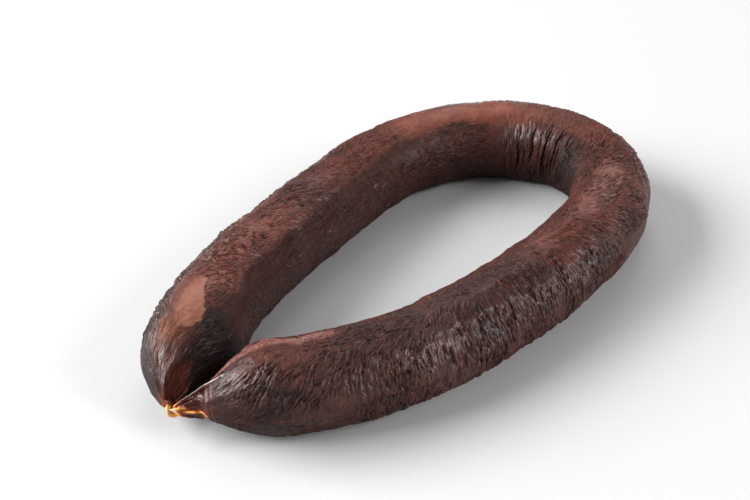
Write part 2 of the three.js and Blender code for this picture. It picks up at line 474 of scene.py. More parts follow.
# Gloss: stretch, sector, value from 0 to 1, soft edges.
glosses = [
    ((-2, 11), (60, 80), 1.0, 3, 5),
    ((-5, 30), (0, 58), 0.34, 4, 8),
    ((44, 150), (66, 128), 0.34, 12, 10),
    ((14, 24), (115, 155), 0.16, 4, 10),
    ((30, 180), (156, 204), 0.30, 12, 10),
    ((30, 262), (-60, 60), 1.0, 10, 10),
    ((235, 285), (48, 82), 0.80, 10, 8),
    ((32, 56), (68, 96), 0.40, 5, 8),
    ((268, 306), (114, 146), 0.46, 6, 8),
    ((322, 376), (-20, 70), 0.42, 12, 12),
    ((376, 412), (-20, 60), 0.22, 12, 12),
    ((345, 412), (66, 106), 0.40, 10, 10),
    ((412, 528), (-40, 62), 0.52, 12, 12),
    ((528, 575), (-30, 48), 0.34, 12, 12),
    ((420, 560), (62, 122), 0.22, 12, 12),
    ((578, 604), (42, 76), 0.50, 5, 8),
    ((500, 534), (22, 50), 0.62, 8, 8),
    ((548, 586), (96, 118), 0.9, 8, 8),
]

# Pale pink painted sheen on the skin, standing in for the lamps' reflection, given in the same way.
sheenZones = [
    ((546, 598), (95, 117), 0.80, 8, 7),
    ((356, 398), (70, 112), 0.55, 10, 10),
]

# Places where the wrinkles are shallow, and one by the tail whose edges aren't frayed.
calms = [((206, 288), (78, 120), 0.75, 10, 7), ((562, 596), (66, 122), 0.45, 6, 8)]
tailCalm = [((8, 24), (60, 116), 0.5, 4, 8)]
haloZone = ((13, 28), (56, 96), 4, 9)  # the orange rim of the patch of painted reflection

# Noises that fray the zones' edges: height, length along, length round, seed.
frays = {
    "along": [(6, 24, 15, 31), (3, 8, 6, 32)],
    "round": [(11, 26, 13, 33), (6, 7, 5, 34)],
}

# Thin raised veins under the skin and single creases, as points along and round.
veins = {
    "lines": [
        [(61, 84), (63, 92), (63.5, 100), (61.5, 109)],
        [(20.5, 90), (23, 84), (27, 80)],
        [(472, 93), (471, 84), (471, 75), (468, 64)],
        [(213, 88), (215.5, 92), (216, 98), (214.5, 101)],
    ],
    "width": 0.36, "height": 0.12,
}
creases = {
    "lines": [
        [(53, 88), (55, 99), (58, 110), (64, 118)],
        [(43, 99), (47, 96), (52, 95)],
        [(70, 62), (66, 74), (64, 84)],
    ],
    "width": 0.34, "share": 0.6, "waver": [(0.5, 3, 3, 48)],
}


def skinRows():
    # places of the rows, closer near both ends: even steps of the summed density
    samples = 6000
    fine = np.linspace(-skin["tailCap"], ringLength + skin["coneCap"], samples)
    toEnd = np.minimum(fine, ringLength - fine)
    atTip, added = skin["rowSpacing"]
    density = 1 / (atTip + added * smooth(toEnd, 0, skin["tipRows"]))
    total = np.cumsum(density)
    return np.interp(np.linspace(total[0], total[-1], skin["rows"]), total, fine)


def skinColumns():
    # angles from the underside round the outer side, the top and back, in degrees:
    # even steps plus two sine waves that crowd them on the sides that show
    t = np.arange(skin["columns"] + 1) / skin["columns"]
    once, twice = skin["crowding"]
    return -90 + 360 * t + once * np.sin(2 * np.pi * t) + twice * np.sin(4 * np.pi * t)


def plainSkin(s, a):
    # middle of the section plus outward r cos a and up r sin a, with rounded caps
    # beyond both ends, and slow swells of r
    inside = np.clip(s, 0, ringLength)
    radius, height, shift = section(inside)
    beyond = np.maximum(-s / skin["tailCap"], (s - ringLength) / skin["coneCap"])
    grown = (radius * roundedEnd(beyond))[:, None]
    place, along, outward = axes(s)
    middle = place + outward * shift[:, None] + up * height[:, None]
    angle = np.radians(a)
    spokes = outward[:, None] * np.cos(angle)[None, :, None] + up * np.sin(angle)[None, :, None]
    body = smooth(s, 0, ring["bodyFade"]) * smooth(ringLength - s, 0, ring["bodyFade"])
    for size, length, turns, phase in ring["swells"]:
        wave = np.sin(2 * np.pi * s[:, None] / length + turns * angle[None] + phase)
        grown = grown + size * body[:, None] * wave
    return middle[:, None] + spokes * grown[..., None] + collarLean(s, a, along)


def skinOffset(plain):
    # the move that puts the bend's outermost point and both long sides of the ring
    # where the solid has them
    low, high = (np.array(corner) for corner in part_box("sausage"))
    plain = plain.reshape(-1, 3)
    offset = (low + high) / 2 / mm - (plain.min(0) + plain.max(0)) / 2
    offset[0] = high[0] / mm - plain.max(0)[0]
    offset[2] = 0
    return offset


def normalsOf(points):
    # across the steps round and along, turned outwards
    around = np.roll(points, -1, 1) - np.roll(points, 1, 1)
    along = np.gradient(points, axis=0)
    n = np.cross(around, along)
    return n / np.maximum(np.linalg.norm(n, axis=-1, keepdims=True), 1e-9)


def wander(s, a):
    # places and angles shifted by two sizes of noise each
    y = roundLength(a)
    return s + lumps(s, y, frays["along"]), a + lumps(s, y, frays["round"])


def layOf(s, a):
    # slant and depth of the wrinkles: each zone adds its slant as a doubled angle, so
    # that neighbours blend the shorter way round, and the deepest zone gives the depth
    c = d = depth = 0
    for sRange, aRange, slant, strength, sSoft, aSoft in wrinkles:
        inside = zone(s, a, sRange, aRange, sSoft, aSoft)
        c = c + inside * math.cos(math.radians(2 * slant))
        d = d + inside * math.sin(math.radians(2 * slant))
        depth = np.maximum(depth, strength * inside)
    return np.arctan2(d, c) / 2, depth


def reflectionPatchOf(s, a):
    # 1 inside the patch of painted reflection, from its two edges; the left edge fades slowly
    p = reflectionPatchShape
    fray = lumps(s, roundLength(a), p["frays"])
    left = np.interp(s, p["along"], p["left"])
    right = np.interp(s, p["along"], p["right"])
    crisp = smooth(right - a - fray, -p["rightSoft"], p["rightSoft"])
    soft = smooth(a - left - p["leftFray"] * fray, *p["leftSoft"])
    first, last = p["along"][0], p["along"][-1]
    inside = smooth(s + p["beginFray"] * fray, first, first + p["begin"])
    return crisp * soft * inside * smooth(s, last + p["end"][0], last + p["end"][1])


# Layers of the wrinkles: length and width of the streaks and seed; how deep the groove
# and how high the ridge, how wide the groove is in the noise's values, and how dark its painted
# shade is.
relief = {
    "coarse": {
        "streak": (8.4, 1.5), "seed": 100, "groove": 0.50, "ridge": 0.60, "width": 0.14,
        "dark": 0.85,
    },
    "fine": {
        "streak": (6.0, 1.05), "seed": 200, "groove": 0.18, "ridge": 0.36, "width": 0.19,
        "dark": 0.5,
    },
    "waves": {"streak": (10.0, 2.7), "seed": 300, "height": 0.60, "most": 1.2},
    "ridgeMean": 0.3,  # taken from the ridges, so that they don't thicken the ring
    "bendAlong": [(0.9, 7, 6, 41)], "bendRound": [(1.0, 8, 7, 42)], "bendFine": [(0.6, 3, 3, 43)],
    "even": 0.85, "uneven": [(0.55, 13, 11, 45)], "unevenRange": (0.35, 1.3),
    "lumps": [(0.2, 9, 8, 7), (0.18, 4.4, 4.0, 8)],
}

# Winding soft ridges on the dome behind the cone.
worms = {
    "zone": ((574, 606), (34, 100), 5, 8), "streak": (6.5, 2.8, 140, 6),
    "bendAlong": [(2.4, 6, 5, 46)], "bendRound": [(2.4, 6, 5, 47)],
    "height": 0.24, "sink": 0.08, "width": 0.30,
}

# Short cuts: how many, in which stretch and sector, their slant and its spread.
slits = {
    "groups": [
        (97, (415, 522), (-40, 55), (2, 8)),
        (15, (60, 240), (20, 60), (115, 14)),
        (18, (325, 400), (0, 105), (38, 12)),
    ],
    "length": (2.2, 7.0), "width": (0.30, 0.50), "strength": (0.55, 1.0), "depth": 1.05,
    "bend": 0.16, "bendRate": 1.1,  # millimetres, and radians to the millimetre
    "fullLength": 0.35,  # the share of its length that is at full depth
    "seed": 11,
}

# Deep creases across the inner side of the tight bend: place and size of each, then
# the small ones between them.
folds = {
    "places": [(281, 1.0), (290.3, 0.95), (300.3, 1.0), (302.6, 0.6), (309, 0.9), (312, 0.7)],
    "small": 10, "smallRange": (272, 322), "smallSize": (0.2, 0.45),
    "side": 167, "reach": 60,  # degrees round
    "depth": 1.15, "width": 0.55, "valley": 0.4, "valleyWidth": 3.4,
    "sway": 1.1, "swayLength": 7, "shake": 0.5, "shakeLength": 2.5,  # how the lines waver
    "breakLength": 9, "breaks": (-0.8, 0.1), "smallBreaks": 0.6,  # where they stop
    "seed": 12,
}


def laid(s, y, turn, layer, form=np.asarray):
    # form of stretched noise at six slants, the one that runs with the lay weighing
    # most; with form abs it is 0 in a groove and about 0.5 on a ridge
    total = share = 0
    for k, slant in enumerate(range(0, 180, 30)):
        weight = np.maximum(np.cos(2 * (turn - math.radians(slant))), 0) ** 10 + 1e-6
        total = total + weight * form(streaks(s, y, *layer["streak"], slant, layer["seed"] + k))
        share = share + weight
    return total / share


def slitsAt(s, a, y):
    # narrow cuts, most of them straight round the section: each a groove with the
    # profile exp(-(distance / width)^2), bent a little and fading towards its ends
    rng = np.random.default_rng(slits["seed"])
    depth = np.zeros(np.broadcast(s, y).shape)
    rows = s[:, 0]
    longest = slits["length"][1]
    every = [group for count, *group in slits["groups"] for _ in range(count)]
    for k, (sRange, aRange, slant) in enumerate(every):
        place, side, lean = rng.uniform(*sRange), rng.uniform(*aRange), rng.normal(*slant)
        length, width = rng.uniform(*slits["length"]), rng.uniform(*slits["width"])
        c, d = math.cos(math.radians(lean)), math.sin(math.radians(lean))
        low, high = np.searchsorted(rows, (place - longest, place + longest))
        ds, dy = s[low:high] - place, y - roundLength(side)
        run = dy * c + ds * d
        off = ds * c - dy * d + slits["bend"] * np.sin(run * slits["bendRate"] + k)
        cut = bell(off, width) * smooth(np.abs(run), length, length * slits["fullLength"])
        depth[low:high] = np.maximum(depth[low:high], cut * rng.uniform(*slits["strength"]))
    return depth


def foldsAt(s, a):
    # the creases' narrow grooves and the wide valleys round them, both exp(-x^2), the
    # line of each wavering, and each stopping where a noise of its own is low
    reach = folds["reach"]
    inner = 1 - smooth(np.abs(a - folds["side"]), reach / 2, reach)
    y = roundLength(a)
    depth = valley = np.zeros(np.broadcast(s, a).shape)
    rng = np.random.default_rng(folds["seed"])
    small = [
        (rng.uniform(*folds["smallRange"]), rng.uniform(*folds["smallSize"]))
        for _ in range(folds["small"])
    ]
    for k, (place, size) in enumerate(folds["places"] + small):
        waver = folds["sway"] * noise(y / folds["swayLength"] + 3 * k, 0.5, 50)
        waver = waver + folds["shake"] * noise(y / folds["shakeLength"], 0.5 + k, 51)
        low = folds["breaks"][0] + folds["smallBreaks"] * (1 - size)
        runs = inner * smooth(noise(y / folds["breakLength"], k + 0.5, 52), low, folds["breaks"][1])
        off = (s - place - waver) / folds["width"]
        depth = np.maximum(depth, size * runs * bell(off, 1))
        valley = np.maximum(valley, size * runs * bell(off, folds["valleyWidth"]))
    return depth, valley


def nearLines(s, a, lines, width):
    # nearness to lines through points along and round: exp(-(distance / width)^2)
    y = roundLength(a)
    near = np.zeros(np.broadcast(s, a).shape)
    rows, reach = s[:, 0], 3
    for line in lines:
        for (s0, a0), (s1, a1) in zip(line, line[1:]):
            low, high = np.searchsorted(rows, (min(s0, s1) - reach, max(s0, s1) + reach))
            y0, y1 = roundLength(a0), roundLength(a1)
            ds, dy = s1 - s0, y1 - y0
            t = ((s[low:high] - s0) * ds + (y - y0) * dy) / (ds * ds + dy * dy)
            t = np.clip(t, 0, 1)
            gap = np.hypot(s[low:high] - s0 - t * ds, y - y0 - t * dy)
            near[low:high] = np.maximum(near[low:high], bell(gap, width))
    return near


def reliefOf(s, a, sw, aw, turn, depth, calm, near):
    # height of the skin above its plain form in millimetres, and how deep each point
    # lies in a groove: a sum of lumps, ridges less grooves, waves, worms, veins, slits,
    # creases and folds
    y, r = roundLength(a), relief
    sBend, yBend = s + lumps(s, y, r["bendAlong"]), y + lumps(s, y, r["bendRound"])
    sFine = s + lumps(s, y, r["bendFine"])
    uneven = np.clip(r["even"] + lumps(s, y, r["uneven"]), *r["unevenRange"])
    strength = depth * uneven * (1 - skin["calming"] * calm)
    h = lumps(s, y, r["lumps"])
    dark = 0
    for layer, along, around in ((r["coarse"], sBend, yBend), (r["fine"], sFine, y)):
        values = laid(along, around, turn, layer, np.abs)
        cut = bell(values, layer["width"])
        ridge = layer["ridge"] * (values - r["ridgeMean"])
        h = h + strength * (ridge - layer["groove"] * cut)
        dark = dark + layer["dark"] * cut
    waves = laid(sBend, yBend, turn, r["waves"])
    h = h + r["waves"]["height"] * np.clip(strength, 0, r["waves"]["most"]) * waves
    sWorm, yWorm = s + lumps(s, y, worms["bendAlong"]), y + lumps(s, y, worms["bendRound"])
    worm = bell(streaks(sWorm, yWorm, *worms["streak"]), worms["width"])
    h = h + zone(sw, aw, *worms["zone"]) * (worms["height"] * worm - worms["sink"])
    sCrease = s + lumps(s, y, creases["waver"])
    crease = creases["share"] * nearLines(sCrease, a, creases["lines"], creases["width"])
    slit = np.maximum(slitsAt(s, a, y), crease)
    fold, valley = foldsAt(s, a)
    h = h + veins["height"] * near - slits["depth"] * slit
    h = h - folds["depth"] * (fold + folds["valley"] * valley)
    # the groove mask darkens the colour as painted shade in the grooves, slits and folds
    groove = np.clip(strength, 0, 1) * dark
    return h, np.clip(groove + slit + fold, 0, 1)


# Pleats where the casing is drawn together at the two tips, and rims at the collar,
# as place before it and width.
tips = {
    "pleats": (9, 17), "pleatHeight": 0.28, "tailReach": 9.0, "coneReach": 6.0, "coneShare": 0.5,
    "rims": [(0.7, 0.55), (2.6, 0.5)], "rimHeight": 0.22,
}


def tipPleats(s, a):
    # two cosines round the section, fading with exp(-distance / reach) from each tip
    angle, toCollar = np.radians(a), ringLength - s
    many, more = tips["pleats"]
    pleats = np.cos(angle * many + 2 * noise(s / 6, a / 40, 61)) + 0.6 * np.cos(angle * more + 1.3)
    tail = np.exp(-np.clip(s, 0, None) / tips["tailReach"]) * smooth(s, -1, 3)
    cone = np.exp(-np.clip(toCollar, 0, None) / tips["coneReach"]) * smooth(toCollar, 0, 2)
    return tips["pleatHeight"] * pleats * (tail + tips["coneShare"] * cone)


# The flat spot on the tail's dome: a point and a normal in directions along the tip's
# middle line, outward and up, how deep its dish is, and its raised lip.
flatSpot = {
    "point": (8.3, -2.0, 23.7), "normal": (-0.83, -0.32, 0.46),
    "dish": 1.4, "dishOver": 0.9, "pressedOver": (0.1, 0.7),
    "lip": 1.0, "lipPlace": 0.4, "lipWidth": 0.5,
    "lipAlong": ((0.5, 4), (18, 12)), "lipRound": ((116, 96), (40, 62)),
}


def pressFlat(points, s, a):
    # points beyond the flat spot's plane go back onto it, dished a little, with a lip
    # along its upper edge; and how far each is pressed, from 0 to 1
    spot = flatSpot
    place, along, outward = tailAxes()
    (x, y, z), (nx, ny, nz) = spot["point"], spot["normal"]
    n = along * nx + outward * ny + up * nz
    n = n / np.linalg.norm(n)
    middle = place + along * x + outward * y + up * z
    over = ((points - middle) @ n) * (s < ring["tailDome"]) * (s > 0)
    lip = spot["lip"] * bell(over + spot["lipPlace"], spot["lipWidth"])
    edges = 1
    for where, spans in ((s, spot["lipAlong"]), (a, spot["lipRound"])):
        for low, high in spans:
            edges = edges * smooth(where, low, high)
    back = np.maximum(over, 0) + spot["dish"] * smooth(over, 0, spot["dishOver"]) - lip * edges
    return points - n * back[..., None], smooth(over, *spot["pressedOver"])


def buildSkin():
    # the plain form moved along its normals by the relief, pressed flat by the cone
    # end, and kept above the floor with z = (z + sqrt(z^2 + e^2)) / 2
    rows, columns = skinRows(), skinColumns()
    s, a = rows[:, None], columns[None, :-1]
    points = plainSkin(rows, columns[:-1])
    offset = skinOffset(points)
    sw, aw = wander(s, a)
    turn, depth = layOf(sw, aw)
    # the patch is a painted reflection of a lamp on the smooth skin there
    reflectionPatch, near = reflectionPatchOf(s, a), nearLines(s, a, veins["lines"], veins["width"])
    calm = np.maximum.reduce([
        skin["patchCalm"] * reflectionPatch**2, strongest(sw, aw, calms), strongest(s, a, tailCalm),
    ])
    h, groove = reliefOf(s, a, sw, aw, turn, depth, calm, near)
    toCollar = ringLength - s
    tailFade, coneFade = skin["endFade"]
    ends = smooth(s, 0, tailFade) * smooth(toCollar, 0, coneFade)
    ends = ends * smooth(np.abs(a - 90), *skin["underside"])
    left = skin["calmLeft"]
    lower = blend(1, left + (1 - left) * smooth(a, *skin["calmSide"]), smooth(s, *skin["calmFrom"]))
    rim = sum(bell(toCollar - place, width) for place, width in tips["rims"])
    h = h * ends * lower + tipPleats(s, a) + tips["rimHeight"] * rim
    points = points + normalsOf(points) * h[..., None]
    points, pressed = pressFlat(points, s, a)
    e = skin["floorSoftness"]
    points[..., 2] = 0.5 * (points[..., 2] + np.sqrt(points[..., 2] ** 2 + e * e))
    points = points + offset

    tone = skin["tone"]
    for sRange, aRange, value, sSoft, aSoft in tones:
        tone = blend(tone, value, zone(sw, aw, sRange, aRange, sSoft, aSoft))
    gloss, paintedSheenMask = strongest(sw, aw, glosses), strongest(sw, aw, sheenZones)
    amber = np.exp(-np.clip(s, 0, None) / skin["amberReach"])
    halo = zone(sw, aw, *haloZone) * (1 - reflectionPatch)
    lean = [np.maximum(np.cos(2 * (turn - math.radians(45 * k))), 0) ** 3 for k in range(4)]
    share = depth * (1 - skin["calming"] * calm) / (sum(lean) + 1e-6)
    layers = {
        # the groove mask is painted shade, some tone zones are painted shade or sheen, and gloss
        # sets the coat
        "grooveShadeToneGloss": (groove, tone, gloss),
        "lay": [part * share for part in lean[:3]],
        "cross": (lean[3] * share, near, calm),
        "ends": (amber, pressed, reflectionPatch),
        "rims": (rim, halo, paintedSheenMask),
    }
    normals = normalsOf(points)
    cuts = np.linspace(0, len(rows) - 1, len(skin["pieces"]) + 1).astype(int)
    u, v = (rows - rows[0]) / (rows[-1] - rows[0]), (columns + 90) / 360
    made = []
    for name, begin, end in zip(skin["pieces"], cuts, cuts[1:]):
        span = slice(max(begin - 1, 0), min(end + 2, len(rows)))
        block = points[span].copy()
        if begin > 0:
            block[0] -= normals[span][0] * skin["tuck"]
        if end < len(rows) - 1:
            block[-1] -= normals[span][-1] * skin["tuck"]
        piece = gridMesh(name, block, u[span], v)
        for layer, channels in layers.items():
            paint(piece, layer, *(values[span] for values in channels))
        print(name, len(piece.data.polygons), "faces")
        made.append(piece)
    return made, offset


# Colours of the skin: the patch colour is a painted reflection, the bloom colour a painted sheen,
# the wrinkle and groove colours painted shade in hollows, and the darkest colour both the skin's
# own darkest tone and painted shade.
skinColours = {
    "sootAndShade": (0.0118, 0.0035, 0.0025), "dark": (0.043, 0.0086, 0.0044),
    "brown": (0.102, 0.0222, 0.0122), "light": (0.174, 0.0440, 0.0243),
    "paintedSheen": (0.25, 0.095, 0.078), "halo": (0.125, 0.031, 0.0075),
    "reflectionPatch": (0.205, 0.074, 0.044), "wrinkle": (0.011, 0.0030, 0.0019),
    "groove": (0.006, 0.0020, 0.0014), "speck": (0.28, 0.050, 0.017),
    "vein": (0.25, 0.060, 0.024), "amber": (0.22, 0.050, 0.011),
    "pressed": (0.120, 0.0290, 0.0150), "rim": (0.09, 0.012, 0.008),
}
skinFinish = {
    "wobble": 7, "wobbleReach": 4,  # how the fine patterns waver, in millimetres
    "wrinkleHeight": 2.6, "pores": 0.06, "sunkBelow": (0.11, 0.03),
    "steps": (0.0, 0.34, 0.66, 0.95),  # of the shade, from one tone to the next
    "blotch": 0.42, "mottle": 0.26, "streak": 0.16,  # how much each moves the shade
    "roughness": 0.50, "specular": 0.2, "coatRoughness": 0.31, "coatIor": 1.5,
}


def skinMaterial():
    # four tones from darkest to light by one shade value, the darkest being both the skin's own
    # darkest tone and painted shade, then the other finishes mixed over them where their masks say,
    # among them painted reflection, painted sheen and painted shade; the gloss is a coat
    look, paints, amounts = Shader("smokedSkin"), skinColours, skinFinish
    total = ringLength + skin["tailCap"] + skin["coneCap"]
    wrap = 2 * math.pi * ring["wrapRadius"]
    uv = look.node("ShaderNodeUVMap", {"uv_map": "casing"}, {})
    size = {0: uv, 1: (total, wrap, 0)}
    place = look.node("ShaderNodeVectorMath", {"operation": "MULTIPLY"}, size)
    sockets = {"Vector": place, "Scale": 1 / amounts["wobble"], "Detail": 1.0}
    waver = look.node("ShaderNodeTexNoise", {"noise_dimensions": "2D"}, sockets, 1)
    reach = amounts["wobbleReach"]
    sockets = {0: waver, 1: (reach, reach, 0), 2: place}
    wobble = look.node("ShaderNodeVectorMath", {"operation": "MULTIPLY_ADD"}, sockets)
    groove, tone, gloss = look.attribute("grooveShadeToneGloss")
    lays = look.attribute("lay")
    cross, vein, calm = look.attribute("cross")
    amber, pressed, reflectionPatch = look.attribute("ends")
    rim, halo, paintedSheenMask = look.attribute("rims")

    # fine wrinkles along four slants, each as strong as the lay there
    height = look.cloud(place, 0.9) * amounts["pores"]
    for k, share in enumerate((*lays, cross)):
        wrinkle = look.grain(wobble, along=3.6, across=1.0, slant=45 * k, shift=7 * k + 3)
        height = height + abs(wrinkle - 0.5) * share * amounts["wrinkleHeight"]
    # painted shade: the colour darkens where the fine wrinkles' bump lies low, since bump casts no
    # shadow
    hollowShade = look.ramp(height, *amounts["sunkBelow"]) * (1 - calm)

    blotch = look.cloud(place, size=15, detail=3.0)
    mottle = look.cloud(wobble, size=2.6, detail=3.0, roughness=0.65)
    streak = look.grain(wobble, along=3.0, across=0.9, slant=60, shift=41, detail=3.0)
    shade = tone + (blotch - 0.5) * amounts["blotch"] + (mottle - 0.5) * amounts["mottle"]
    shade = shade + (streak - 0.5) * amounts["streak"]
    steps, colour = amounts["steps"], paints["sootAndShade"]
    for low, high, name in zip(steps, steps[1:], ("dark", "brown", "light")):
        colour = look.mix(look.ramp(shade, low, high), colour, paints[name])
    # specks in a few places, then each finish with how much of it there is
    specks = look.ramp(look.cloud(place, size=1.4, detail=1.0), 0.74, 0.80)
    specks = specks * look.ramp(look.cloud(place, size=22, detail=1.0), 0.42, 0.6)
    for mask, name in (
        # painted sheen: pale pink where the lamps would reflect
        (paintedSheenMask * (0.2 + mottle), "paintedSheen"),
        (halo * (0.5 + mottle * 0.7), "halo"),
        # painted reflection: the patch by the tail is lighter pink-brown where a lamp would reflect
        (reflectionPatch * (0.30 + mottle), "reflectionPatch"),
        # painted shade: darker where the fine wrinkles lie low and near black in the grooves, slits
        # and folds
        (hollowShade * 0.45, "wrinkle"),
        (groove * 0.85, "groove"),
        (specks * 0.75, "speck"),
        (look.ramp(vein * (mottle + 0.4), 0.25, 0.95) * 0.55, "vein"),
        (look.ramp(amber + mottle * 0.5 - 0.25, 0.3, 1.0) * 0.8, "amber"),
        (pressed * (0.5 + mottle * 0.8), "pressed"),
        (rim * 0.7, "rim"),
    ):
        colour = look.mix(mask, colour, paints[name])
    coat = gloss * 0.82 + (tone + 0.25) * (0.08 + mottle * 0.16)
    return look.surface({
        "Base Color": colour,
        "Roughness": amounts["roughness"] + mottle * 0.10 + groove * 0.25,
        "Specular IOR Level": amounts["specular"],
        "Coat Weight": coat * (1 - groove * 0.8) * (1 - pressed * 0.7),
        "Coat Roughness": amounts["coatRoughness"],
        "Coat IOR": amounts["coatIor"],
        "Normal": look.bump(1.0, 1.0, height),
    })


casingCone = {
    "rows": 90, "columns": 160, "start": 593.0, "length": 21.5,
    "rootGap": 0.15,  # how much thinner its root is than the collar round it
    "tipRadius": 1.7, "flatness": 0.6, "flatOver": 3, "fall": 1.4, "shift": 2.9, "taper": 1.3,
    "closing": 0.035,  # the share of its length over which the tip closes
    "pleats": 7, "creases": 13, "pleatDepth": (0.03, 0.2), "twist": 1.6,
    # uneven bumps and pale streaks: height, length, count in a radian, seed
    "bumps": [(0.6, 2.3, 2.2, 71), (0.3, 1.1, 5, 72)], "bumpHeight": 0.14,
    "streaks": [(1.0, 5, 5, 73), (0.6, 2.2, 11, 74)],
    "finSide": 97, "finWidth": 1.5, "finCloseness": 48,
    "finTop": (591.0, 31.6), "finTip": (614.5, 15.6),  # place along and height of its edge
    # bright bands along it, in degrees round: one from root to tip and one by the root
    "band": (-16, 24), "bandWidth": 17, "bandSway": 9,
    "rootBand": -48, "rootBandWidth": 16, "rootBandShare": 0.8,
}


def coneNoise(s, angle, layers):
    # a sum of noises along and round the cone
    return sum(
        height * noise(s / length, angle * count, seed) for height, length, count, seed in layers
    )


def buildCone(offset):
    # an ellipse that narrows to the tip, its radius waved by pleats that deepen
    # towards the tip; a thin fin with a straight edge runs from the dome to the tip
    c = casingCone
    t = np.linspace(0, 1, c["rows"])
    s = c["start"] + t * c["length"]
    end = c["start"] + c["length"]
    out = np.clip((s - ringLength) / (end - ringLength), 0, 1)
    tall = blend(ring["coneRadius"] - c["rootGap"], c["tipRadius"], out ** c["taper"])
    wide = tall * blend(1, c["flatness"], smooth(s, ringLength, ringLength + c["flatOver"]))
    close = roundedEnd((t - (1 - c["closing"])) / c["closing"])
    # the columns crowd towards the fin
    even = np.linspace(-90, 270, c["columns"] + 1)
    sine, first = np.sin(np.radians(even - c["finSide"])), np.sin(np.radians(-90 - c["finSide"]))
    a = even - c["finCloseness"] * (sine - first)
    side = a[:-1][None]
    angle = np.radians(side)
    far = out[:, None]
    shallow, deeper = c["pleatDepth"]
    twist = c["twist"] * far
    pleat = np.cos(c["pleats"] * angle + twist + 0.8 * np.sin(2 * angle + 1))
    pleat = pleat + 0.5 * np.cos(c["creases"] * angle + 2 - 2 * twist)
    bumps = coneNoise(s[:, None], angle, c["bumps"])
    scale = 1 + (shallow + deeper * far) * pleat + c["bumpHeight"] * bumps * smooth(far, 0, 0.2)
    place, along, outward = axes(s)
    height = ring["coneHeight"] - c["fall"] * out
    shift = ring["coneShift"] + c["shift"] * out
    (finS, finZ), (tipS, tipZ) = c["finTop"], c["finTip"]
    edgeHeight = finZ + (tipZ - finZ) * (s - finS) / (tipS - finS) - height - tall
    beside = np.abs((side - c["finSide"]) / c["finWidth"])
    fin = np.maximum(edgeHeight, 0)[:, None] * np.exp(-(beside**1.5))
    middle = place + outward * shift[:, None] + up * height[:, None]
    rx = (wide * close)[:, None] * scale * np.cos(angle)
    rz = ((tall * close)[:, None] * scale + fin) * np.sin(angle)
    points = middle[:, None] + outward[:, None] * rx[..., None] + up * rz[..., None]
    points = points + collarLean(s, a[:-1], along) + offset
    piece = gridMesh("casingCone", points, t, (a + 90) / 360)

    streak = coneNoise(s[:, None], angle, c["streaks"])
    sway = blend(*c["band"], far) + c["bandSway"] * bumps
    rootBand = c["rootBandShare"] * bell(side - c["rootBand"], c["rootBandWidth"])
    band = bell(side - sway, c["bandWidth"]) + rootBand * smooth(far, 0.4, 0.1)
    # painted light: lighter on the pleats' crests and towards the tip as painted highlights, and
    # darker in the pleats' hollows as painted shade
    crestHighlight = smooth(pleat + 0.5 * bumps, 0.35, 1.1) * smooth(far, 0.3, 0.9)
    tipGlow = smooth(far, 0.72, 1.0)
    bright = np.clip(band * (0.62 + 0.7 * streak) + 0.3 * crestHighlight + 0.7 * tipGlow, 0, 1)
    crease = smooth(-pleat - 0.4 * bumps, 0.2, 1.0)
    paint(piece, "casingTone", crease, bright, bell(side - c["finSide"], c["finWidth"] / 2))
    return piece


casingTail = {
    "rows": 60, "columns": 20,
    # the tail's line from the dome: along (less than 0 beyond the tip), outward and up
    "path": [
        (2.0, 3.6, 12.3), (0.2, 3.7, 12.0), (-1.0, 3.7, 10.8), (-1.4, 3.2, 9.4),
        (-1.4, 2.2, 8.4), (-1.3, 0.9, 8.0), (-0.9, 0.1, 8.9),
    ],
    "radius": (2.3, 2.0, 1.35, 1.1, 1.05, 0.95, 0.5),
    "flatness": 0.5, "flatOver": (0.02, 0.3), "twist": 170,
    "closing": 0.05,  # the share of its length over which its end closes
    "floorGap": 0.15,
    "softening": 61,  # of the 400 steps of its line, over which the bends are rounded
}


